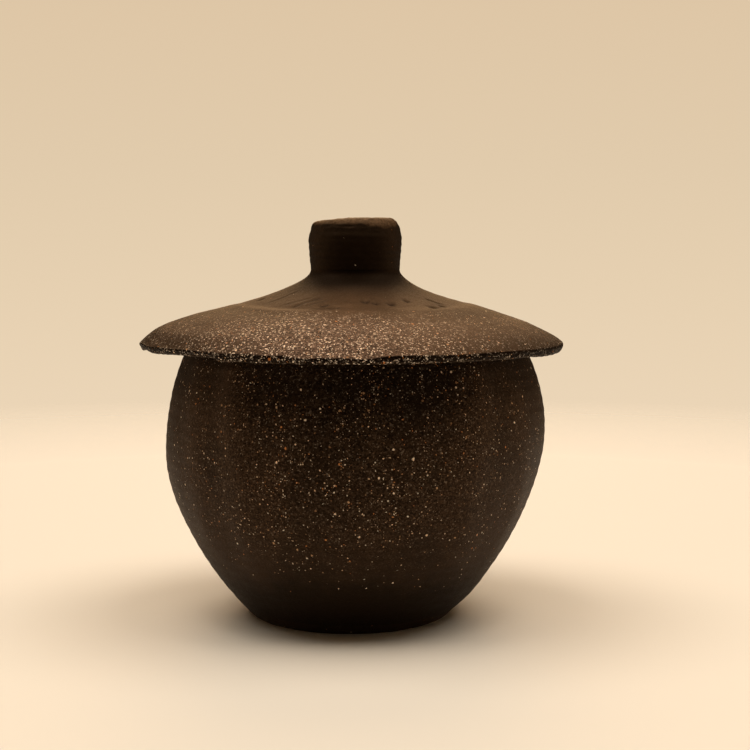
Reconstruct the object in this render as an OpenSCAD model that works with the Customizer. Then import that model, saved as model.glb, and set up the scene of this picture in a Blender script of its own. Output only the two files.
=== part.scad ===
// Go stone bowl with a lift-off lid, thrown in stoneware.
// +Z is up and is the axis of every piece.
// The origin is on the surface the bowl stands on, under the centre of the foot.

/* [Bowl] */
// Largest radius of the bowl, at its belly
belly_r = 65; // [60:0.5:70]
// Height of the belly above the foot
belly_z = 62; // [56:1:66]
// Radius of the flat part of the foot
foot_r = 35.5; // [32:0.5:36]
// Height of the mouth above the foot
mouth_z = 96; // [90:1:100]
// Outer radius of the mouth
mouth_r = 56.5; // [55:0.5:60]
// Width of the flat rim around the mouth
rim_w = 5.5; // [4:0.5:7]
// Thickness of the wall at the belly
wall_t = 5.5; // [4:0.5:7]
// Thickness of the floor
floor_t = 7; // [5:0.5:9]

/* [Lid] */
// Radius of the lid at its overhanging edge
lid_r = 72.5; // [70:0.5:76]
// Height of the lid's lower edge above the foot
lid_edge_z = 91.4; // [89:0.1:93]
// Thickness of the lid at its edge
lid_edge_t = 3; // [2:0.5:4]
// Thickness of the lid between its edge and its centre
lid_t = 5.5; // [4:0.5:7]
// Gap around the locating ring when the lid is on
ring_gap = 1.5; // [1:0.1:3]
// Thickness of the locating ring
ring_t = 4; // [3:0.5:5]
// Height of the locating ring
ring_h = 8; // [5:1:12]

/* [Knob] */
// Largest radius of the knob
knob_r = 15.9; // [14:0.1:18]
// Radius of the knob where it is luted to the lid
knob_seat_r = 15.3; // [13:0.1:17]
// Height of that seat above the foot
knob_seat_z = 118.8; // [117:0.1:121]
// Height of the top of the knob above the foot
knob_top_z = 136.4; // [134:0.1:140]

/* [Smoothness] */
// Straight steps in each curved outline
curve_steps = 16; // [8:2:24]
// Facets around each piece in the preview
facets = 144; // [72:12:240]

/* [Hidden] */

$fn = facets;
clay = [0.23, 0.16, 0.10];
worn_clay = [0.30, 0.21, 0.15];

// Radius of the small round on each clay edge that was wiped with a sponge
wipe_r = 1;
// Height at which the rounded corner of the foot meets the wall, and the wall's radius there
foot_wall_z = 4;
foot_wall_r = foot_r + 4.7;
// Radius and depth of the shallow hollow under the foot
foot_hollow_r = 25;
foot_hollow_d = 1.2;
// Inner radius of the mouth
mouth_in_r = mouth_r - rim_w;
// Radius of the flat middle of the bowl's floor
floor_flat_r = 26;
// Outer and inner radius of the locating ring
ring_r = mouth_in_r - ring_gap;
ring_in_r = ring_r - ring_t;
// Height of the lid's thick centre, under the knob
lid_centre_z = 109.5;
// Radius and height of the point where the lid's hollow flare turns into its round shoulder
shoulder_r = 32.5;
shoulder_z = 108.8;
// Radius of the round at the top of the knob
knob_round = 3.2;

// Point on a cubic Bezier curve from a to d, with handles b and c, at t from 0 to 1
function bezier_point(a, b, c, d, t) =
    pow(1 - t, 3) * a + 3 * pow(1 - t, 2) * t * b + 3 * (1 - t) * t * t * c + pow(t, 3) * d;

// The curve's points after a, up to and including d
function bezier(a, b, c, d, steps = curve_steps) =
    [for (i = [1:steps]) bezier_point(a, b, c, d, i / steps)];

// A round of radius r about centre, from angle start to angle end
function round_points(centre, r, start, end, steps = 6) =
    [for (i = [0:steps]) centre + r * [cos(start + (end - start) * i / steps),
                                       sin(start + (end - start) * i / steps)]];

// The bowl: a full round belly on a small foot, with a flat rim for the lid to rest on
module bowl_body() {
    foot_corner = [foot_wall_r, foot_wall_z];
    belly = [belly_r, belly_z];
    inner_belly = [belly_r - wall_t, belly_z];
    outer_wall = concat(
        bezier([foot_r, 0], [foot_r + 2.3, 0], [foot_r + 3.6, 1.6], foot_corner, 6),
        bezier(foot_corner, [foot_wall_r + 1.5, foot_wall_z + 4.5], [belly_r, belly_z - 28.5], belly),
        bezier(belly, [belly_r, belly_z + 12.5], [mouth_r + 4.4, mouth_z - 10.2],
               [mouth_r, mouth_z - wipe_r]));
    rim = concat(
        round_points([mouth_r - wipe_r, mouth_z - wipe_r], wipe_r, 15, 90),
        round_points([mouth_in_r + wipe_r, mouth_z - wipe_r], wipe_r, 90, 180));
    inner_wall = concat(
        bezier([mouth_in_r, mouth_z - wipe_r - 1], [mouth_in_r + 5, mouth_z - 12],
               [belly_r - wall_t, belly_z + 11], inner_belly),
        bezier(inner_belly, [belly_r - wall_t, belly_z - 24],
               [floor_flat_r + 14, floor_t], [floor_flat_r, floor_t]));
    underside = [
        [0, floor_t],
        [0, foot_hollow_d],
        [foot_hollow_r, foot_hollow_d],
        [foot_hollow_r + foot_hollow_d, 0],
        [foot_r, 0]];
    color(clay)
        rotate_extrude()
            polygon(concat(outer_wall, rim, inner_wall, underside));
}

// The lid: a shallow cone that flares up to the knob's seat and hangs over the rim
module lid_cap() {
    edge_top = [lid_r - 0.4, lid_edge_z + lid_edge_t];
    edge_bottom = [lid_r - 1.6, lid_edge_z];
    seat_edge = [knob_seat_r, knob_seat_z];
    shoulder = [shoulder_r, shoulder_z];
    top = concat(
        bezier(seat_edge, [knob_seat_r, knob_seat_z - 2.2], [shoulder_r - 13, shoulder_z + 4.1],
               shoulder),
        bezier(shoulder, [shoulder_r + 6.4, shoulder_z - 2], [lid_r - 7.9, lid_edge_z + 10.4],
               edge_top));
    edge = bezier(edge_top, [lid_r + 0.3, edge_top[1] - 0.8], [lid_r + 0.3, lid_edge_z], edge_bottom, 6);
    land = [
        [mouth_r + 3, mouth_z - 0.2],
        [mouth_r + 1, mouth_z],
        [ring_in_r, mouth_z]];
    hollow = concat(
        bezier([ring_in_r - 1, mouth_z], [ring_in_r - 6, mouth_z + 5],
               [shoulder_r + 2, shoulder_z - lid_t], [shoulder_r - 8, shoulder_z - lid_t + 0.8], 10),
        bezier([shoulder_r - 8, shoulder_z - lid_t + 0.8], [shoulder_r - 14, shoulder_z - lid_t + 1.6],
               [8, lid_centre_z], [0, lid_centre_z], 8));
    color(worn_clay)
        rotate_extrude()
            polygon(concat([[0, knob_seat_z], seat_edge], top, edge, land, hollow));
}

// The ring luted under the lid, which drops inside the mouth and keeps the lid centred
module lid_flange() {
    bottom_z = mouth_z - ring_h;
    color(clay)
        rotate_extrude()
            polygon(concat(
                [[ring_in_r, mouth_z]],
                round_points([ring_in_r + wipe_r, bottom_z + wipe_r], wipe_r, 180, 270),
                round_points([ring_r - wipe_r, bottom_z + wipe_r], wipe_r, 270, 360),
                [[ring_r, mouth_z]]));
}

// The knob: a squat solid cylinder with a slight waist, luted to the middle of the lid
module lid_knob() {
    dome_z = knob_top_z - 0.8;
    waist = [knob_seat_r, knob_seat_z];
    bulge = [knob_r, knob_seat_z + 9];
    side_top = [knob_r - 0.7, dome_z - knob_round];
    shell = concat(
        [waist],
        bezier(waist, [knob_seat_r + 0.1, knob_seat_z + 3], [knob_r, knob_seat_z + 6], bulge, 8),
        bezier(bulge, [knob_r, knob_seat_z + 11], [knob_r - 0.4, side_top[1] - 1], side_top, 6),
        round_points([side_top[0] - knob_round, side_top[1]], knob_round, 15, 80),
        [[0, knob_top_z]]);
    color(clay)
        rotate_extrude()
            polygon(concat([[0, knob_seat_z]], shell));
}

bowl_body();
lid_cap();
lid_flange();
lid_knob();
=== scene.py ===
"""A thrown stoneware go stone bowl with a lift-off lid, on a pale floor under soft studio light.

Outlines and surface marks are worked out in millimetres. Meshes, lights and the camera are in metres.
"""

import math

import bpy
import numpy as np
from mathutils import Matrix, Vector, noise


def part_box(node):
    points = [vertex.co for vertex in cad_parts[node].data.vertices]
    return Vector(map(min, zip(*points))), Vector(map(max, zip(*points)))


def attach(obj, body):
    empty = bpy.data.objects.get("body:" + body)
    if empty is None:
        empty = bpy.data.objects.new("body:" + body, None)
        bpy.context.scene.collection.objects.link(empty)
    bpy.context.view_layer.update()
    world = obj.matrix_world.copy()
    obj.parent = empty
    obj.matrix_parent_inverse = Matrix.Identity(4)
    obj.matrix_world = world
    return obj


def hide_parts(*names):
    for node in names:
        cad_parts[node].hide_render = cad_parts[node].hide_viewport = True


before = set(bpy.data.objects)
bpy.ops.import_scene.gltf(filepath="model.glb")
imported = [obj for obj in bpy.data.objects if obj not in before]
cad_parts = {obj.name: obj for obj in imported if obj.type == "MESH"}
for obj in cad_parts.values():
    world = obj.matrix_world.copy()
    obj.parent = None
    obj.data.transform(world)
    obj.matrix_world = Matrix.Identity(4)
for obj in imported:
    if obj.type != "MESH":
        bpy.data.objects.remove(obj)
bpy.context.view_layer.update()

MM = 0.001


def cad_reach(node):
    """Radius, lowest and highest point of a CAD node, in millimetres."""
    low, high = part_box(node)
    return (high[0] - low[0]) / 2 / MM, low[2] / MM, high[2] / MM


# ---------------------------------------------------------------- sizes, in millimetres

BELLY_R, FLOOR_Z, MOUTH_Z = cad_reach("bowl_body")
LID_R, LID_EDGE_Z, SEAT_Z = cad_reach("lid_cap")
RING_R, RING_Z, LAND_Z = cad_reach("lid_flange")
KNOB_R, _, KNOB_TOP_Z = cad_reach("lid_knob")

BELLY_Z = 62
# Radius and height where the wall turns under into the foot
FOOT_WALL = (38.7, 4)
FOOT_R = 34.2
FOOT_HOLLOW_R = 25
FOOT_HOLLOW_D = 1.2
MOUTH_R = 56.5
RIM_W = 5.5
WALL_T = 5.5
INNER_FLOOR_Z = 7
LID_EDGE_T = 3
# Radius and height where the hollow slope of the lid turns into its rounded skirt
SHOULDER = (32.5, 108.8)
LID_T = 5.5
LID_CENTRE_Z = 109.5
RING_T = 4
RING_BURIED = 0.6
KNOB_SEAT_R = 15.3
KNOB_OFF_AXIS = 0.62

# Points in each ring of a piece
BOWL_AROUND = 456
LID_AROUND = 560
KNOB_AROUND = 300
RING_AROUND = 256


# ---------------------------------------------------------------- outlines

# Each outline is a line of (radius, height) points that runs with the solid on its right, so it goes up
# the inside of a wall and down the outside

def bezier(a, b, c, d, count=40):
    """Points after a on the cubic curve from a to d with handles b and c."""
    t = np.linspace(0, 1, count + 1)[1:, None]
    a, b, c, d = (np.array(p, float) for p in (a, b, c, d))
    return (1 - t) ** 3 * a + 3 * (1 - t) ** 2 * t * b + 3 * (1 - t) * t ** 2 * c + t ** 3 * d


def distance_along(points):
    """How far along the line each of its points is."""
    return np.concatenate([[0], np.cumsum(np.hypot(*np.diff(points, axis=0).T))])


def resample(points, step):
    """The same line with its points evenly spaced, about step apart."""
    points = np.array(points, float)
    along = distance_along(points)
    where = np.linspace(0, along[-1], max(1, round(along[-1] / step)) + 1)
    return np.column_stack([np.interp(where, along, points[:, k]) for k in (0, 1)])


def join(*stretches):
    """One outline from stretches of (name, step, points), with the name of each point's stretch."""
    rows, names = [], []
    for name, step, points in stretches:
        if rows:
            points = np.vstack([rows[-1][-1:], points])
        even = resample(points, step)
        if rows:
            even = even[1:]
        rows.append(even)
        names += [name] * len(even)
    return np.vstack(rows), np.array(names)


def bowl_outline():
    """Inside floor, inner wall, rim, outer wall, foot and underside of the bowl."""
    mouth_in_r = MOUTH_R - RIM_W
    inner_belly = (BELLY_R - WALL_T, BELLY_Z)
    inner = np.vstack([
        [[0, INNER_FLOOR_Z], [26, INNER_FLOOR_Z]],
        bezier((26, INNER_FLOOR_Z), (40, INNER_FLOOR_Z), (inner_belly[0], BELLY_Z - 24), inner_belly),
        bezier(inner_belly, (inner_belly[0], BELLY_Z + 11), (mouth_in_r + 5, MOUTH_Z - 12),
               (mouth_in_r, MOUTH_Z - 2)),
    ])
    rim = np.vstack([
        bezier((mouth_in_r, MOUTH_Z - 2), (mouth_in_r, MOUTH_Z - 0.6), (mouth_in_r + 0.6, MOUTH_Z),
               (mouth_in_r + 1.6, MOUTH_Z), 12),
        [[MOUTH_R - 1.6, MOUTH_Z]],
        bezier((MOUTH_R - 1.6, MOUTH_Z), (MOUTH_R - 0.5, MOUTH_Z), (MOUTH_R, MOUTH_Z - 0.3),
               (MOUTH_R + 0.2, MOUTH_Z - 1.2), 12),
    ])
    outer = np.vstack([
        bezier(rim[-1], (MOUTH_R + 4.4, MOUTH_Z - 10.2), (BELLY_R, BELLY_Z + 12.5), (BELLY_R, BELLY_Z)),
        bezier((BELLY_R, BELLY_Z), (BELLY_R, BELLY_Z - 28.5), (FOOT_WALL[0] + 3.5, FOOT_WALL[1] + 4.5),
               FOOT_WALL),
    ])
    foot = np.vstack([
        bezier(FOOT_WALL, (FOOT_R + 2.8, 2), (FOOT_R + 1.5, FLOOR_Z), (FOOT_R, FLOOR_Z), 12),
        [[FOOT_HOLLOW_R + 2.2, FLOOR_Z]],
        bezier((FOOT_HOLLOW_R + 2.2, FLOOR_Z), (FOOT_HOLLOW_R + 1, FLOOR_Z),
               (FOOT_HOLLOW_R, FOOT_HOLLOW_D), (FOOT_HOLLOW_R - 1.5, FOOT_HOLLOW_D), 12),
    ])
    underside = [[0, FOOT_HOLLOW_D]]
    return join(("inside", 2.4, inner), ("rim", 0.6, rim), ("outside", 0.88, outer),
                ("foot", 0.8, foot), ("underside", 1.6, underside))


def lid_outline():
    """Top, edge, overhang, land and hollow of the lid. It starts inside the knob's neck."""
    edge_top = (LID_R - 0.3, LID_EDGE_Z + LID_EDGE_T)
    edge_bottom = (LID_R - 1.6, LID_EDGE_Z)
    ring_in_r = RING_R - RING_T
    neck = (KNOB_SEAT_R, SEAT_Z)
    start = (KNOB_SEAT_R - 0.8, SEAT_Z + 1.4)
    hollow_turn = (SHOULDER[0] - 8, SHOULDER[1] - LID_T + 0.8)
    top = np.vstack([
        [[0, start[1]], start],
        bezier(start, (KNOB_SEAT_R - 0.3, SEAT_Z + 0.9), neck, (KNOB_SEAT_R, SEAT_Z - 0.5), 8),
        bezier((KNOB_SEAT_R, SEAT_Z - 0.5), (KNOB_SEAT_R, SEAT_Z - 2.4),
               (SHOULDER[0] - 13, SHOULDER[1] + 4.1), SHOULDER),
        bezier(SHOULDER, (SHOULDER[0] + 6.4, SHOULDER[1] - 2), (LID_R - 7.9, LID_EDGE_Z + 10.4),
               edge_top),
    ])
    edge = np.vstack([
        bezier(edge_top, (LID_R - 0.1, edge_top[1] - 0.3), (LID_R, edge_top[1] - 0.5),
               (LID_R - 0.1, edge_top[1] - 0.9), 8),
        bezier((LID_R - 0.1, edge_top[1] - 0.9), (LID_R - 0.5, LID_EDGE_Z + 0.9),
               (LID_R - 0.8, LID_EDGE_Z + 0.1), edge_bottom, 12),
    ])
    under = np.vstack([
        bezier(edge_bottom, (LID_R - 6, LID_EDGE_Z + 1.2), (MOUTH_R + 5, LAND_Z - 0.8),
               (MOUTH_R + 1.5, LAND_Z), 20),
        [[ring_in_r, LAND_Z]],
    ])
    hollow = np.vstack([
        bezier((ring_in_r, LAND_Z), (ring_in_r - 6, LAND_Z + 5), (SHOULDER[0] + 2, SHOULDER[1] - LID_T),
               hollow_turn),
        bezier(hollow_turn, (SHOULDER[0] - 14, SHOULDER[1] - LID_T + 1.6), (8, LID_CENTRE_Z),
               (0, LID_CENTRE_Z)),
    ])
    return join(("top", 0.7, top), ("edge", 0.26, edge), ("under", 1.4, under), ("hollow", 2.2, hollow))


def knob_outline(corner):
    """The knob, from its top to its hidden bottom inside the lid's neck. corner has the four points of
    the round between top and side, from the knob's largest radius and its top."""
    bulge = (KNOB_R + 0.05, SEAT_Z + 9.5)
    waist = (KNOB_SEAT_R, SEAT_Z)
    crown_z = KNOB_TOP_Z - 0.2
    before, first, second, after = [(KNOB_R + r, KNOB_TOP_Z + z) for r, z in corner]
    crown = np.vstack([[[0, crown_z]], bezier((0, crown_z), (5, crown_z), (8, before[1] + 0.3), before, 30)])
    turned = bezier(before, first, second, after, 18)
    side = np.vstack([
        bezier(after, (after[0] + 0.25, after[1] - 1.2), (bulge[0], bulge[1] + 2), bulge, 18),
        bezier(bulge, (bulge[0], SEAT_Z + 6), (waist[0] + 0.1, SEAT_Z + 3), waist, 24),
    ])
    tuck = np.array([[KNOB_SEAT_R - 0.4, SEAT_Z - 1], [KNOB_SEAT_R - 1.4, SEAT_Z - 2], [0, SEAT_Z - 2]])
    stretches = (("crown", crown), ("corner", turned), ("side", side), ("tuck", tuck))
    names = [name for name, points in stretches for _ in points]
    return np.vstack([points for _, points in stretches]), np.array(names)


def ring_outline():
    """The locating ring under the lid, with its top buried a little in the lid."""
    inner, top = RING_R - RING_T, LAND_Z + RING_BURIED
    return join(("ring", 0.7, np.vstack([
        [[inner, top], [RING_R, top], [RING_R, RING_Z + 1.2]],
        bezier((RING_R, RING_Z + 1.2), (RING_R, RING_Z), (RING_R - 0.4, RING_Z), (RING_R - 1.4, RING_Z), 8),
        [[inner + 1.4, RING_Z]],
        bezier((inner + 1.4, RING_Z), (inner + 0.4, RING_Z), (inner, RING_Z), (inner, RING_Z + 1.2), 8),
        [[inner, top]],
    ])))


# ---------------------------------------------------------------- marks of the hand and the wheel

# Angles are in degrees from +X towards +Y: 270 is the front, 180 the left, 90 the back and 0 the right

def smooth(x, low, high):
    """0 below low, 1 above high, and a smooth rise between."""
    t = np.clip((x - low) / (high - low), 0, 1)
    return t * t * (3 - 2 * t)


def hill(x, centre, width):
    """A round hill 1 high at centre."""
    return np.exp(-(((x - centre) / width) ** 2))


def turn(angle, centre):
    """Degrees from centre round to angle, from -180 to 180."""
    return (angle - centre + 180) % 360 - 180


def swell(angle, centre, width):
    """A round hill 1 high at the angle centre, and width degrees to each side of it."""
    return hill(turn(angle, centre), 0, width)


def spiral(along, pitch, angle):
    """Throwing lines, from -1 to 1: a spiral that repeats each pitch mm along."""
    return np.sin(2 * np.pi * (along / pitch + angle / 360))


def window(angle, first, last, soft):
    """1 from angle first round to angle last, with soft ends, and 0 elsewhere."""
    half = (last - first) / 2
    return 1 - smooth(np.abs(turn(angle, first + half)), half - soft, half + soft)


def cloud(places, size, seed, octaves=3):
    """Fractal noise of about -1 to 1 at each place, with lumps about size mm across."""
    shift = Vector((seed * 11.3, seed * 7.7, seed * 5.1))
    values = [noise.fractal(Vector(p) / size + shift, 0.9, 2.1, octaves) for p in places.reshape(-1, 3)]
    return np.array(values).reshape(places.shape[:-1])


def waves(angle, seed, first, last):
    """A closed wavy line round the axis, of about -1 to 1, from seeded waves first to last."""
    rng = np.random.default_rng(seed)
    total = np.zeros_like(angle)
    for k in range(first, last + 1):
        total += rng.normal() * np.cos(np.radians(k * angle) + rng.uniform(0, 2 * math.pi)) / k ** 0.5
    return total / np.abs(total).max()


class Surface:
    """The grid of a turned piece: each row is a ring, each column an angle from +X towards +Y.

    push moves a point outwards at right angles to the outline, and shift moves it along X, Y and Z. The
    marks are paleness where scuffed (on the knob's top edge a painted highlight instead), grit (how
    sandy), tone (paler or darker, in places painted light and painted shade) and sheen (cut in places as
    painted shade). side is 1 at the left and right of the piece and 0 at its front and back.
    """

    def __init__(self, outline, around):
        self.points, self.names = outline
        self.r, self.z = self.points[:, :1], self.points[:, 1:]
        self.angle = (np.arange(around) * 360 / around)[None, :]
        self.side = np.abs(np.cos(np.radians(self.angle)))
        slope = np.gradient(self.points, axis=0)
        slope /= np.maximum(np.hypot(*slope.T), 1e-9)[:, None]
        self.out_r, self.out_z = -slope[:, 1:], slope[:, :1]
        shape = (len(self.points), around)
        self.push = np.zeros(shape)
        self.shift = np.zeros((*shape, 3))
        self.marks = {"wear_and_highlight": np.zeros(shape), "grit": np.ones(shape), "tone": np.zeros(shape),
                      "sheen": np.ones(shape)}

    def on(self, *names):
        """1 on the rows of these stretches, 0 elsewhere."""
        return np.isin(self.names, names).astype(float)[:, None]

    def move(self, outward, upward):
        """Shift points away from the axis and up."""
        a = np.radians(self.angle)
        self.shift[..., 0] += outward * np.cos(a)
        self.shift[..., 1] += outward * np.sin(a)
        self.shift[..., 2] += upward

    def places(self):
        """Where each point of the grid is now, in millimetres."""
        r = self.r + self.push * self.out_r
        a = np.radians(self.angle)
        z = self.z + self.push * self.out_z
        return np.stack([r * np.cos(a), r * np.sin(a), z], axis=-1) + self.shift


# ---------------------------------------------------------------- meshes

def add_object(name, data):
    """A new object in the scene with this mesh, light or camera."""
    thing = bpy.data.objects.new(name, data)
    bpy.context.scene.collection.objects.link(thing)
    return thing


def band_faces(rows, around, v, closed):
    """Outward faces between neighbouring rings of points, and a UV for each of their corners."""
    faces, uvs = [], []
    for i in range(rows if closed else rows - 1):
        here, there = i * around, (i + 1) % rows * around
        for j in range(around):
            k = (j + 1) % around
            faces.append((here + j, there + j, there + k, here + k))
            left, right = j / around, (j + 1) / around
            uvs += [(left, v[i]), (left, v[i + 1]), (right, v[i + 1]), (right, v[i])]
    return faces, uvs


def cap_faces(first, around, tip, rim_v, tip_v, flip):
    """Outward faces from the ring of points that starts at first to the point tip on the axis."""
    faces, uvs = [], []
    for j in range(around):
        ring = [first + j, first + (j + 1) % around]
        left, right = j / around, (j + 1) / around
        ring_uv = [(left, rim_v), (right, rim_v)]
        if flip:
            ring.reverse()
            ring_uv.reverse()
        faces.append((*ring, tip))
        uvs += [*ring_uv, ((left + right) / 2, tip_v)]
    return faces, uvs


def mesh_from(surface, name, material, closed_ring=False):
    """A smooth closed mesh from the grid. An outline that starts and ends on the axis closes at a point."""
    places = surface.places() * MM
    around = places.shape[1]
    along = distance_along(surface.points)
    v = along / along[-1]
    kept = slice(0, -1) if closed_ring else slice(1, -1)
    body = places[kept]
    points = [tuple(p) for p in body.reshape(-1, 3)]
    marks = {key: list(values[kept].reshape(-1)) for key, values in surface.marks.items()}
    faces, uvs = band_faces(len(body), around, v if closed_ring else v[1:], closed_ring)
    if not closed_ring:
        last = (len(body) - 1) * around
        for end, first, rim_v, flip in ((0, 0, v[1], False), (-1, last, v[-2], True)):
            cap, cap_uvs = cap_faces(first, around, len(points), rim_v, v[end], flip)
            points.append(tuple(places[end].mean(axis=0)))
            for key, values in surface.marks.items():
                marks[key].append(values[end].mean())
            faces += cap
            uvs += cap_uvs
    mesh = bpy.data.meshes.new(name)
    mesh.from_pydata(points, [], faces)
    mesh.polygons.foreach_set("use_smooth", [True] * len(faces))
    # U runs round the axis and V along the outline
    mesh.uv_layers.new(name="OFBake").data.foreach_set("uv", np.array(uvs, np.float32).ravel())
    for key, values in marks.items():
        mesh.attributes.new(key, "FLOAT", "POINT").data.foreach_set("value", np.array(values, np.float32))
    mesh.validate()
    mesh.materials.append(material)
    return add_object(name, mesh)


# ---------------------------------------------------------------- materials

class Nodes:
    """Short ways to add and link the nodes of one material or world."""

    def __init__(self, owner):
        owner.use_nodes = True
        self.tree = owner.node_tree
        self.tree.nodes.clear()

    def add(self, kind, inputs=(), **settings):
        node = self.tree.nodes.new("ShaderNode" + kind)
        for key, value in settings.items():
            setattr(node, key, value)
        for key, value in dict(inputs).items():
            self.feed(node.inputs[key], value)
        return node

    def feed(self, socket, value):
        if isinstance(value, bpy.types.NodeSocket):
            self.tree.links.new(value, socket)
        else:
            socket.default_value = value

    def math(self, operation, *values):
        return self.add("Math", dict(enumerate(values)), operation=operation).outputs[0]

    def vector(self, operation, *values):
        return self.add("VectorMath", dict(enumerate(values)), operation=operation).outputs[0]

    def fit(self, value, low, high, new_low=0.0, new_high=1.0):
        """value from low..high moved to new_low..new_high, held there at the ends."""
        inputs = {0: value, 1: low, 2: high, 3: new_low, 4: new_high}
        return self.add("MapRange", inputs).outputs[0]

    def mix(self, factor, a, b, blend="MIX"):
        node = self.add("Mix", {0: factor, 6: a, 7: b}, data_type="RGBA", blend_type=blend)
        return node.outputs[2]

    def ramp(self, value, stops):
        node = self.add("ValToRGB", {0: value})
        band = node.color_ramp
        while len(band.elements) < len(stops):
            band.elements.new(0.5)
        for element, (place, colour) in zip(band.elements, stops):
            element.position = place
            element.color = (*colour, 1)
        return node.outputs[0]

    def noise(self, place, size_mm, detail=3.0, rough=0.5, output=0):
        inputs = {"Vector": place, "Scale": 1 / (size_mm * MM), "Detail": detail, "Roughness": rough}
        return self.add("TexNoise", inputs).outputs[output]

    def mark(self, name):
        return self.add("Attribute", attribute_name=name).outputs["Fac"]

    def cells(self, place, size_mm):
        """Cells about size_mm across: distance from each cell's middle, and two random numbers per cell."""
        node = self.add("TexVoronoi", {"Vector": place, "Scale": 1 / (size_mm * MM)})
        chance = self.add("SeparateColor", {0: node.outputs["Color"]})
        return node.outputs["Distance"], chance.outputs[0], chance.outputs[1]


def rgb(red, green, blue):
    """A colour from its 0..255 screen values, as linear light."""
    return tuple(((c / 255 + 0.055) / 1.055) ** 2.4 if c > 10 else c / 255 / 12.92
                 for c in (red, green, blue))


GROG_COLOURS = ((0.0, (0.22, 0.11, 0.05)), (0.3, (0.55, 0.33, 0.18)), (0.5, (1.0, 0.73, 0.50)),
                (0.84, (1.0, 0.92, 0.76)), (0.89, (0.70, 0.30, 0.11)), (1.0, (0.55, 0.20, 0.06)))

# Grains of grog: spacing and radius of the biggest in mm, and share of the places that hold one
GRAINS = ((0.62, 0.25, 0.56), (1.5, 0.46, 0.52), (4.0, 0.64, 0.50))

# Light that glances off the clay takes on its brown, and is paler off bare sand
BROWN_TINT = (1.0, 0.54, 0.25, 1)
SAND_TINT = (1.0, 0.61, 0.43, 1)

# Bright grains of sand: pale grains, partly painted glints of light off them
SAND_GLINT = (1.0, 0.85, 0.70, 1)

ROUGHNESS = 0.6

# What sets each clay apart. Contrast and glints are of its sand, and grain is how thick its grog lies.
# The lid's clay is partly painted light, lighter than the bowl's for the light its top catches, and the
# knob's is partly painted shade, darker for its shaded front
BOWL_CLAY = dict(dark=(0.0092, 0.0060, 0.0038), light=(0.028, 0.0165, 0.0096), worn_and_lit=(0.07, 0.042, 0.024),
                 sheen=0.15, contrast=2.4, relief_mm=0.25)
LID_CLAY = dict(dark=(0.003, 0.0015, 0.0007), light=(0.048, 0.0278, 0.0182), worn_and_lit=(0.30, 0.19, 0.11),
                sheen=1.05, contrast=1.7, relief_mm=0.3, grain=1.9, sand_mm=0.40, glints=1.5, patchy=True)
# The knob's pale colour is used only as a painted highlight along its top edge
KNOB_CLAY = dict(dark=(0.0026, 0.0018, 0.0010), light=(0.0052, 0.0034, 0.0019),
                 worn_and_lit=(0.11, 0.066, 0.036), sheen=0.22, grain=0.1, glints=0.0)


def grog(nodes, place, density, spacing, radius, share):
    """Grains of grog cut by the surface: how far each point is inside a grain, and the grain's colour."""
    distance, size, tint = nodes.cells(place, spacing)
    empty = nodes.math("MULTIPLY_ADD", density, -share, 1.0)
    reach = nodes.math("POWER", nodes.fit(size, empty, 1), 0.6)
    reach = nodes.math("MULTIPLY_ADD", reach, radius / spacing, -0.02)
    depth = nodes.math("SUBTRACT", reach, distance)
    return nodes.fit(depth, 0, 0.2 * radius / spacing), nodes.ramp(tint, GROG_COLOURS)


def sand(nodes, place, grit, size_mm, contrast, glints):
    """Grains of sand: a brightness to multiply the clay by, how much of a bright glint each grain is (a pale
    grain, partly a painted glint of light), and how far each stands out."""
    _, chance, rise = nodes.cells(place, size_mm)
    swing = nodes.math("MULTIPLY", grit, contrast)
    value = nodes.math("MULTIPLY_ADD", nodes.math("SUBTRACT", chance, 0.5), swing, 1.0)
    bright = nodes.math("MULTIPLY", nodes.math("POWER", chance, 18.0), nodes.math("MULTIPLY", grit, glints))
    return value, bright, rise


def clay(nodes, place, fine, dark, light, worn_and_lit):
    """The colour of bare clay: cloudy and blotchy between dark and light, and pale where scuffed, which on
    the knob is a painted highlight.
    """
    cloudy = nodes.noise(place, 24, 4.0, 0.6)
    blotchy = nodes.noise(place, 4.5, 3.0, 0.6)
    tone = nodes.math("MULTIPLY_ADD", blotchy, 0.5, nodes.math("MULTIPLY", cloudy, 0.7))
    tone = nodes.math("ADD", tone, nodes.mark("tone"))
    colour = nodes.mix(nodes.fit(tone, 0.40, 0.85), (*dark, 1), (*light, 1))
    # Pale where scuffed; on the knob this paleness is a painted highlight
    rubbed_and_lit = nodes.math("MULTIPLY", nodes.mark("wear_and_highlight"), nodes.fit(fine, 0.3, 0.6, 0.25, 1.0))
    return nodes.mix(rubbed_and_lit, colour, (*worn_and_lit, 1))


def grog_density(nodes, place, grit, grain):
    """How thick the grains of grog lie: in tall patches, and more where the clay is gritty."""
    tall = nodes.vector("MULTIPLY", place, (1.0, 1.0, 0.4))
    patches = nodes.fit(nodes.noise(tall, 8, 3.0, 0.6), 0.36, 0.64, 0.15, 1.0)
    return nodes.math("MULTIPLY", nodes.math("MULTIPLY", patches, grit), grain)


def make_patchy(nodes, surface, grit, shade, sheen):
    """Let the sheen of the surface follow its mark and the sand, and be paler off bare sand."""
    gloss = nodes.math("MULTIPLY", nodes.mark("sheen"), sheen)
    nodes.feed(surface.inputs["Specular IOR Level"], nodes.math("MULTIPLY", shade, gloss))
    tint = nodes.mix(nodes.fit(grit, 0.2, 1.0), BROWN_TINT, SAND_TINT)
    nodes.feed(surface.inputs["Specular Tint"], tint)


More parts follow.
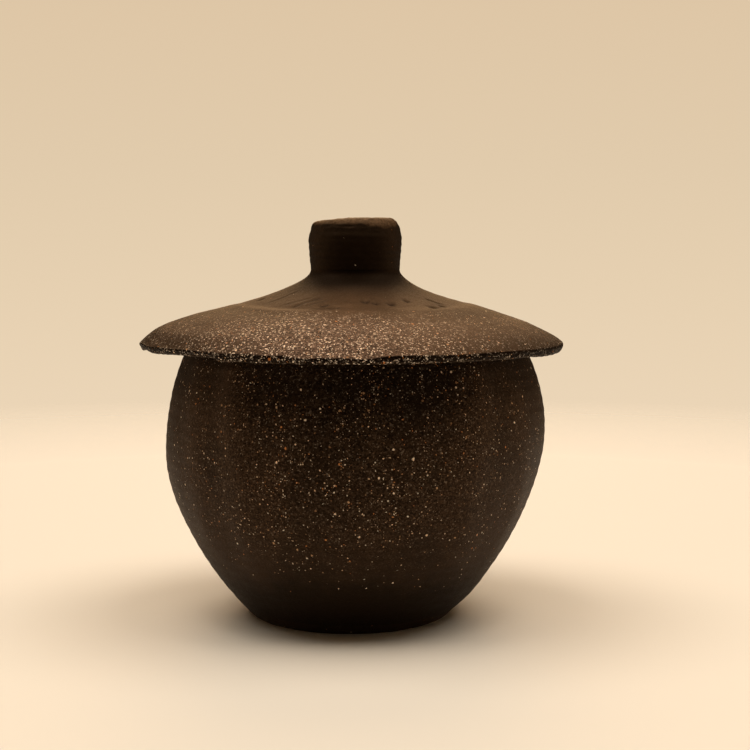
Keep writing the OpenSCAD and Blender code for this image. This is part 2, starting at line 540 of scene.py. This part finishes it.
def stoneware(name, dark, light, worn_and_lit, sheen, contrast=1.2, relief_mm=0.2, grain=1.0, sand_mm=0.42,
              glints=0.1, patchy=False):
    """Unglazed speckled stoneware: sandy clay with grains of grog, and pale where scuffed, which on the knob
    is a painted highlight.
    """
    material = bpy.data.materials.new(name)
    nodes = Nodes(material)
    place = nodes.add("TexCoord").outputs["Object"]
    bent = nodes.vector("MULTIPLY", nodes.noise(place, 0.7, 2.0, output=1), (0.75 * MM,) * 3)
    grain_place = nodes.vector("ADD", place, bent)
    grit = nodes.mark("grit")
    fine = nodes.noise(place, 0.7, 2.0, 0.7)

    shade, glint, rise = sand(nodes, grain_place, grit, sand_mm, contrast, glints)
    colour = nodes.mix(1.0, clay(nodes, place, fine, dark, light, worn_and_lit), shade, "MULTIPLY")
    colour = nodes.mix(glint, colour, SAND_GLINT)
    height = nodes.math("MULTIPLY", nodes.math("ADD", rise, fine), nodes.fit(grit, 0, 1, 0.15, 0.5))
    density = grog_density(nodes, place, grit, grain)
    for spacing, radius, share in GRAINS:
        inside, grain_colour = grog(nodes, grain_place, density, spacing, radius, share)
        colour = nodes.mix(inside, colour, grain_colour)
        height = nodes.math("MULTIPLY_ADD", inside, radius * 2, height)

    bump = nodes.add("Bump", {"Height": height, "Distance": relief_mm * MM, "Strength": 1.0})
    rough = nodes.fit(fine, 0.3, 0.7, ROUGHNESS + 0.08, ROUGHNESS - 0.08)
    surface = nodes.add("BsdfPrincipled", {"Base Color": colour, "Roughness": rough,
                                           "Specular IOR Level": sheen, "Specular Tint": BROWN_TINT,
                                           "Normal": bump.outputs[0]})
    if patchy:
        make_patchy(nodes, surface, grit, shade, sheen)
    output = nodes.add("OutputMaterial")
    nodes.feed(output.inputs["Surface"], surface.outputs[0])
    return material


# ---------------------------------------------------------------- the four pieces

# Soft upright edges left on the bowl's wall: angle, half width in degrees, height in mm
WALL_EDGES = ((213, 6, 0.5), (232, 6, 1.2), (249, 5, 0.5), (310, 7, 1.1), (327, 6, 0.5), (352, 12, 0.3),
              (28, 9, 0.6), (66, 8, 0.5), (101, 7, 0.8), (134, 9, 0.5), (168, 11, 0.4))
# Pits in the sponged slope of the lid: angle, radius, length round, width, depth
PITS = ((278, 32.1, 2.2, 3.0, 0.9), (283, 34.0, 1.6, 3.0, 0.8), (291, 35.0, 2.0, 3.4, 0.9),
        (312, 40.0, 3.2, 2.6, 0.8), (262, 38.4, 2.8, 2.2, 0.9), (303, 33.0, 1.8, 2.6, 0.6),
        (76, 36, 2.4, 2.4, 0.8), (140, 39, 2.2, 2.4, 0.7), (20, 33, 2.0, 2.4, 0.7))
# Grooves where a grain was dragged along: angle and radius at each end, width, depth
DRAGS = ((240, 38.5, 251, 29.0, 1.3, 0.24), (247, 37.0, 256, 31.0, 1.0, 0.20),
         (233, 36.5, 244, 29.8, 1.1, 0.16), (219, 35, 223, 24, 1.2, 0.15),
         (321, 31.5, 323, 37.5, 1.2, 0.25), (251, 40.8, 262, 38.0, 1.0, 0.25),
         (95, 40, 104, 33, 1.0, 0.25), (160, 38, 170, 33, 1.0, 0.25), (44, 41, 52, 36, 1.0, 0.25))
# The round between the top and the side of the knob, from its largest radius and its top
SOFT_CORNER = ((-3.9, -0.3), (-2.6, -0.3), (-1.0, -1.8), (-0.5, -4.4))
SHARP_CORNER = ((-3.5, -1.2), (-1.9, -1.45), (-0.9, -2.1), (-0.7, -4.0))


def lean(z):
    """How far the bowl's wall is off its axis, in mm along X: left below the belly, right above it."""
    return -1.2 + 0.45 * smooth(z, 0, 8) + 1.9 * smooth(z, 40, 74)


def bowl_wall(s, places):
    """Soft upright edges with a painted highlight along them, dents and throwing lines on the outside of the
    bowl.
    """
    wall = s.on("outside") * smooth(s.z, 0, 12) * (1 - smooth(s.z, MOUTH_Z - 10, MOUTH_Z - 1))
    for angle, half, height in WALL_EDGES:
        sway = 6 * np.sin(s.z / 23 + angle)
        crest = wall * height * smooth(s.z, 12, 40) * swell(s.angle, angle + sway, half)
        s.push += crest
        # Painted highlight: each edge's crest is painted paler, as side light would catch it
        s.marks["tone"] += 0.4 * crest
    s.push += wall * 0.35 * cloud(places, 26, 1, 2)
    s.push += wall * 0.07 * cloud(places, 3.2, 2, 3)
    s.push += wall * 0.05 * spiral(s.z, 3.7, s.angle)


def bowl_inside(s):
    """Throwing rings up the inner wall, and a swirl over the floor inside."""
    up_wall = smooth(s.z, 8, 14)
    lines = 0.22 * up_wall * spiral(s.z, 6.5, s.angle) + 0.25 * (1 - up_wall) * spiral(s.r, 6.0, -s.angle)
    s.push += s.on("inside") * lines * smooth(s.r, 2, 6) * (1 - smooth(s.z, MOUTH_Z - 14, MOUTH_Z - 4))


def bowl_foot(s):
    """An uneven oval foot, with turning lines under it."""
    around_foot = s.on("foot", "outside")
    s.push += s.on("underside") * smooth(s.r, 2, 5) * 0.12 * spiral(s.r, 2.6, -s.angle)
    s.push += around_foot * hill(s.z, 3, 3) * 0.2 * waves(s.angle, 21, 3, 11)
    low = around_foot * (1 - smooth(s.z, 0, 7)) * smooth(s.r, FOOT_HOLLOW_R, FOOT_R)
    s.move(low * (0.6 - 1.6 * s.side ** 2), 0)


def bowl_looks(s):
    """A rim scuffed pale, painted shade low down and under the lid, painted light inside, below the belly
    and at the left and right, and less grit low down and at the sides.
    """
    outside, inside = s.on("outside"), s.on("inside")
    s.marks["wear_and_highlight"] += 0.5 * s.on("rim") + 0.1 * hill(s.z, 0, 1) * s.on("foot")
    s.marks["grit"] *= 1 - 0.5 * s.on("rim", "underside") - 0.35 * inside - 0.9 * s.on("foot")
    s.marks["grit"] *= 1 - outside * (1 - smooth(s.z, 12, 52))
    s.marks["grit"] *= 1 - 0.65 * outside * s.side ** 2
    # Painted light: paler inside, where little light reaches, and below the belly
    s.marks["tone"] += 0.35 * inside + 0.10 * outside * (1 - smooth(s.z, 42, 62))
    # Painted shade: darker towards the foot for the floor's contact shadow, and under the lid's overhang for
    # its shadow
    s.marks["tone"] -= outside * (0.55 * (1 - smooth(s.z, 4, 30)) + 0.25 * smooth(s.z, 74, 84))
    # Painted light: paler at the left and right, where the side lights glance off the wall
    s.marks["tone"] += 0.15 * outside * s.side ** 4


def make_bowl(material):
    """The bowl: leaning, softly faceted outside, with throwing rings inside."""
    s = Surface(bowl_outline(), BOWL_AROUND)
    bowl_wall(s, s.places())
    bowl_inside(s)
    bowl_foot(s)
    outer_rim = s.on("rim") * smooth(s.r, MOUTH_R - RIM_W, MOUTH_R)
    s.shift[..., 0] += lean(s.z) * (s.on("outside", "foot", "underside") + 0.6 * outer_rim)
    bowl_looks(s)
    return mesh_from(s, "bowl", material)


def lid_edge(s):
    """The wavy, torn edge of the lid: its lower and upper lines rise and fall separately."""
    near_edge = smooth(s.r, 60, LID_R - 0.6)
    upper = s.on("top") * smooth(s.r, 66, LID_R - 0.5)
    face = s.on("edge") * smooth(s.z, LID_EDGE_Z + 0.5, LID_EDGE_Z + LID_EDGE_T - 0.4)
    back = window(s.angle, 20, 185, 12)
    lower = window(s.angle, 190, 235, 2) - 0.55 * swell(s.angle, 208, 7)
    lower = lower - 0.45 * window(s.angle, 328, 372, 7)
    lower = lower + back * 0.6 * waves(s.angle, 11, 2, 9) + 0.08 * waves(s.angle, 12, 20, 60)
    lift = -0.1 * window(s.angle, 200, 243, 4) - 0.75 * window(s.angle, 256, 275, 3)
    lift = lift - 0.5 * swell(s.angle, 276, 3) - 0.35 * swell(s.angle, 300, 5)
    lift = lift + 0.18 * waves(s.angle, 13, 12, 40) - 0.25
    s.move(0, near_edge * lower * (1 - 0.4 * s.on("top")))
    s.move(0, (upper + face) * (lift - 0.35 * lower))


def lid_marks(s, places):
    """Pits and drag grooves in the sponged slope of the lid, with painted shade in them."""
    top = s.on("top")
    x, y = places[..., 0], places[..., 1]
    for angle, radius, length, width, depth in PITS:
        a = np.radians(angle)
        along = -(x - radius * np.cos(a)) * np.sin(a) + (y - radius * np.sin(a)) * np.cos(a)
        across = np.hypot(x, y) - radius
        pit = top * np.exp(-((along / length * 2) ** 2 + (across / width * 2) ** 2))
        s.push -= depth * pit
        # Painted shade in each pit: darker clay and less sheen in the hollow
        s.marks["tone"] -= 0.35 * pit
        s.marks["sheen"] *= 1 - 0.7 * pit
    for angle, radius, end_angle, end_radius, width, depth in DRAGS:
        a, b = np.radians(angle), np.radians(end_angle)
        start = np.array([radius * np.cos(a), radius * np.sin(a)])
        line = np.array([end_radius * np.cos(b), end_radius * np.sin(b)]) - start
        length = np.hypot(*line)
        line = line / length
        along = (x - start[0]) * line[0] + (y - start[1]) * line[1]
        across = -(x - start[0]) * line[1] + (y - start[1]) * line[0]
        reach = top * smooth(along, -1, 1) * (1 - smooth(along, length - 2, length + 1))
        s.push -= depth * reach * (hill(across, 0, width / 1.6) - 0.4 * hill(across, width, width / 1.6))
        # Painted shade along each groove: less sheen
        s.marks["sheen"] *= 1 - 1.8 * depth * reach * hill(across, 0, width / 1.6)


def lid_relief(s, places, ridge_r):
    """A soft ridge round the lid at radius ridge_r, gentle dents, and throwing rings in the hollow."""
    top, edge, hollow = s.on("top"), s.on("edge"), s.on("hollow")
    off_axis = 0.6 - 0.8 * smooth(s.r, KNOB_SEAT_R, 24) - 1.6 * smooth(s.r, 43, 55)
    off_axis = off_axis + 1.2 * smooth(s.r, 64, LID_R)
    s.shift[..., 0] += off_axis * (top + edge)
    bold = 0.35 + 0.65 * swell(s.angle, 238, 24) + 0.4 * swell(s.angle, 80, 60)
    s.push += top * bold * 0.30 * hill(s.r, ridge_r + 1.2, 2.5) * (1 + 0.4 * waves(s.angle, 15, 2, 12))
    s.push -= top * bold * 0.42 * hill(s.r, ridge_r - 2.8, 2.8) * (1 + 0.4 * waves(s.angle, 18, 3, 14))
    s.push += top * smooth(s.r, 18, 26) * 0.13 * cloud(places, 17, 4, 3)
    s.push += top * smooth(s.r, 16, 24) * 0.06 * cloud(places, 2.4, 5, 2)
    s.push += edge * 0.16 * cloud(places, 2.2, 6, 3)
    s.push += hollow * smooth(s.r, 3, 8) * (1 - smooth(s.r, 38, 43)) * 0.15 * spiral(s.r, 4.5, -s.angle)


def lid_looks(s, places, ridge_r):
    """Bare sand below the ridge, painted shade at the neck for the knob's shadow and the reflections it
    blocks, painted shade at the left and right, at the edge and towards it, and a burr scuffed pale.
    """
    top, edge = s.on("top"), s.on("edge")
    sand_r = ridge_r + 0.5 + 1.5 * waves(s.angle, 17, 2, 16) + 2.0 * cloud(places, 6, 9, 2)
    bare = 0.4 * smooth(s.r, sand_r - 1.0, sand_r + 5) + 0.6 * smooth(s.r, 46, 60)
    s.marks["grit"] *= 1 - top * (1 - bare) * 0.98 - 0.45 * s.on("hollow", "under")
    s.marks["grit"] *= 1 - top * (1 - smooth(s.r, 20, 27))
    s.marks["grit"] *= 0.18 + 0.82 * swell(s.angle, 262, 34) + 0.7 * swell(s.angle, 90, 65)
    # Painted shade of the knob: round its neck the lid is darkened and its sheen cut, standing in for the
    # knob's shadow and the reflections it blocks, less at the left and right
    neck = top * (0.85 * (1 - smooth(s.r, 18.5, 28.5)) + 0.15 * (1 - smooth(s.r, 26, 38)))
    neck = neck * (1 - 0.45 * s.side ** 2)
    skirt = top * smooth(s.r, 62, 72)
    # Painted shade: the edge, the skirt just inside it and the left and right of the top are darkened and
    # made less glossy
    s.marks["tone"] += top * (0.40 * bare - 0.10) - 0.35 * neck - 0.45 * edge
    s.marks["tone"] -= 0.30 * top * s.side + 0.14 * skirt
    s.marks["sheen"] *= (1 - 0.86 * neck - 0.9 * edge) * (1 - 0.55 * s.side) * (1 - 0.15 * skirt)
    # More painted shade of the knob, cutting the sheen right against it at the front and back
    s.marks["sheen"] *= 1 - 0.6 * top * (1 - smooth(s.r, 17, 22)) * (1 - s.side) ** 0.5
    burr = edge * hill(s.z, LID_EDGE_Z + 0.2, 0.35)
    s.marks["wear_and_highlight"] += burr * 0.1 * (1 + waves(s.angle, 16, 20, 70))


def make_lid(material):
    """The lid: a torn wavy edge, a soft ridge, a sponged slope above it and bare sand below it."""
    s = Surface(lid_outline(), LID_AROUND)
    places = s.places()
    ridge_r = 41.3 + 1.3 * waves(s.angle, 14, 1, 9)
    lid_edge(s)
    lid_marks(s, places)
    lid_relief(s, places, ridge_r)
    lid_looks(s, places, ridge_r)
    return mesh_from(s, "lid", material)


def make_knob(material):
    """The knob: off centre and sharper at its left corner, with faint throwing lines, a torn groove at
    the front and a painted highlight along its top edge, where the light from above catches it."""
    soft, sharp = knob_outline(SOFT_CORNER), knob_outline(SHARP_CORNER)
    s = Surface(soft, KNOB_AROUND)
    leftness = (1 - np.cos(np.radians(s.angle))) / 2
    change = sharp[0] - soft[0]
    s.move(leftness * change[:, :1], leftness * change[:, 1:])
    outer = s.on("crown", "corner", "side")
    top_edge = outer * smooth(s.z, KNOB_TOP_Z - 7, KNOB_TOP_Z - 3)
    below = outer * smooth(s.z, SEAT_Z, SEAT_Z + 4) - top_edge
    places = s.places()
    s.push += below * 0.05 * spiral(s.z, 2.3, s.angle)
    s.push += below * 0.14 * cloud(places, 6, 7, 3)
    s.push += top_edge * 0.20 * cloud(places, 2.6, 8, 3)
    torn = hill(s.z, KNOB_TOP_Z - 3.1 + 0.4 * waves(s.angle, 19, 4, 22), 0.45)
    s.push -= outer * 0.2 * torn * (0.6 + 0.4 * waves(s.angle, 22, 6, 30)) * window(s.angle, 205, 290, 25)
    s.shift[..., 0] += KNOB_OFF_AXIS
    # Painted highlight: the knob's top edge is painted pale where the light from above catches its round
    # corner
    highlight_z = KNOB_TOP_Z - 2.7 - 1.6 * swell(s.angle, 315, 25) + 0.5 * waves(s.angle, 20, 4, 22)
    s.marks["wear_and_highlight"] += outer * 0.45 * smooth(s.z, highlight_z, highlight_z + 1.0)
    s.marks["wear_and_highlight"] += outer * 0.50 * smooth(s.z, highlight_z, highlight_z + 2.4)
    s.marks["grit"] *= 0.25
    return mesh_from(s, "knob", material)


def make_ring(material):
    """The locating ring, wiped smooth."""
    s = Surface(ring_outline(), RING_AROUND)
    s.marks["grit"] *= 0.5
    return mesh_from(s, "ring", material, closed_ring=True)


# ---------------------------------------------------------------- studio

# Radius in metres where the floor starts to fade, and where it is gone
FADE_FROM = 0.40
FLOOR_EDGE = 0.72
FLOOR_COLOUR = (0.808, 0.812, 0.815, 1)
FLOOR_SIDES = 96
FLOOR_DROP = 0.05 * MM

# Colours of the studio lights
SOFT_WHITE = (1.0, 0.83, 0.63)
WARM = (1.0, 0.69, 0.39)
AMBER = (1.0, 0.58, 0.27)

# Wide, soft, far lights: angle round the bowl, height above the floor and how wide the light looks, all
# in degrees, then strength and colour
LIGHTS = {"left_box": (180, 68, 38, 1.40, SOFT_WHITE), "right_box": (0, 68, 38, 1.40, SOFT_WHITE),
          "front_box": (270, 77, 24, 0.55, SOFT_WHITE), "back_high": (90, 45, 40, 0.60, WARM),
          "back_low": (90, 14, 24, 0.46, AMBER), "left_low": (165, 7, 14, 0.31, AMBER),
          "right_low": (15, 7, 14, 0.31, AMBER)}

# Strength of the dim even light from all round
FILL = 0.07

# Colours of the backdrop from below the horizon upwards, by the height part of the view direction
BACKDROP = ((-0.12, (236, 214, 184)), (-0.03, (230, 208, 177)), (0.05, (225, 203, 172)),
            (0.16, (222, 198, 166)))

CAMERA_PLACE = (0.0074, -0.520, 0.1275)
CAMERA_DIP = 4.99
LENS = 72.4
SENSOR_W = 36


def make_floor():
    """A round pale floor that fades into the backdrop colour of the world."""
    material = bpy.data.materials.new("floor")
    nodes = Nodes(material)
    place = nodes.add("TexCoord").outputs["Object"]
    reach = nodes.add("VectorMath", {0: place}, operation="LENGTH").outputs["Value"]
    paint = nodes.add("BsdfPrincipled", {"Base Color": FLOOR_COLOUR, "Roughness": 0.7,
                                         "Specular IOR Level": 0.2})
    clear = nodes.add("BsdfTransparent")
    fade = nodes.fit(reach, FADE_FROM, FLOOR_EDGE)
    blend = nodes.add("MixShader", {0: fade, 1: paint.outputs[0], 2: clear.outputs[0]})
    output = nodes.add("OutputMaterial")
    nodes.feed(output.inputs["Surface"], blend.outputs[0])
    turns = [2 * math.pi * k / FLOOR_SIDES for k in range(FLOOR_SIDES)]
    corners = [(FLOOR_EDGE * math.cos(a), FLOOR_EDGE * math.sin(a), -FLOOR_DROP) for a in turns]
    mesh = bpy.data.meshes.new("floor")
    mesh.from_pydata(corners, [], [tuple(range(FLOOR_SIDES))])
    mesh.materials.append(material)
    add_object("floor", mesh)


def make_world():
    """A beige backdrop for the camera, and a dim even fill as light."""
    world = bpy.data.worlds.new("studio")
    bpy.context.scene.world = world
    nodes = Nodes(world)
    direction = nodes.add("SeparateXYZ", {0: nodes.add("TexCoord").outputs["Generated"]})
    low, high = BACKDROP[0][0], BACKDROP[-1][0]
    stops = [((place - low) / (high - low), rgb(*colour)) for place, colour in BACKDROP]
    wall = nodes.ramp(nodes.fit(direction.outputs[2], low, high), stops)
    seen = nodes.add("Background", {"Color": wall, "Strength": 1.0})
    light = nodes.add("Background", {"Color": (*WARM, 1), "Strength": FILL})
    camera_ray = nodes.add("LightPath").outputs["Is Camera Ray"]
    blend = nodes.add("MixShader", {0: camera_ray, 1: light.outputs[0], 2: seen.outputs[0]})
    output = nodes.add("OutputWorld")
    nodes.feed(output.inputs["Surface"], blend.outputs[0])


def make_light(name, angle, height, spread, strength, colour):
    """A wide far lamp, with the light coming from this angle and height."""
    a, h = math.radians(angle), math.radians(height)
    lamp = bpy.data.lights.new(name, "SUN")
    lamp.angle = math.radians(spread)
    lamp.energy = strength
    lamp.color = colour
    towards = Vector((math.cos(a) * math.cos(h), math.sin(a) * math.cos(h), math.sin(h)))
    add_object(name, lamp).rotation_euler = towards.to_track_quat("Z", "Y").to_euler()


def make_camera():
    """The camera, level with the knob and looking slightly down at the belly."""
    lens = bpy.data.cameras.new("camera")
    lens.sensor_width = SENSOR_W
    lens.lens = LENS
    camera = add_object("camera", lens)
    camera.location = CAMERA_PLACE
    camera.rotation_euler = (math.radians(90 - CAMERA_DIP), 0, 0)
    bpy.context.scene.camera = camera


make_camera()
bpy.context.scene.view_settings.view_transform = "Standard"
make_world()
make_floor()
for light_name, light in LIGHTS.items():
    make_light(light_name, *light)

bowl_clay = stoneware("bowl_clay", **BOWL_CLAY)
lid_clay = stoneware("lid_clay", **LID_CLAY)
knob_clay = stoneware("knob_clay", **KNOB_CLAY)

bowl = make_bowl(bowl_clay)
lid = make_lid(lid_clay)
knob = make_knob(knob_clay)
ring = make_ring(lid_clay)

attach(bowl, "bowl")
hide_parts("bowl_body")
for piece, node in ((lid, "lid_cap"), (knob, "lid_knob"), (ring, "lid_flange")):
    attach(piece, "lid")
    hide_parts(node)
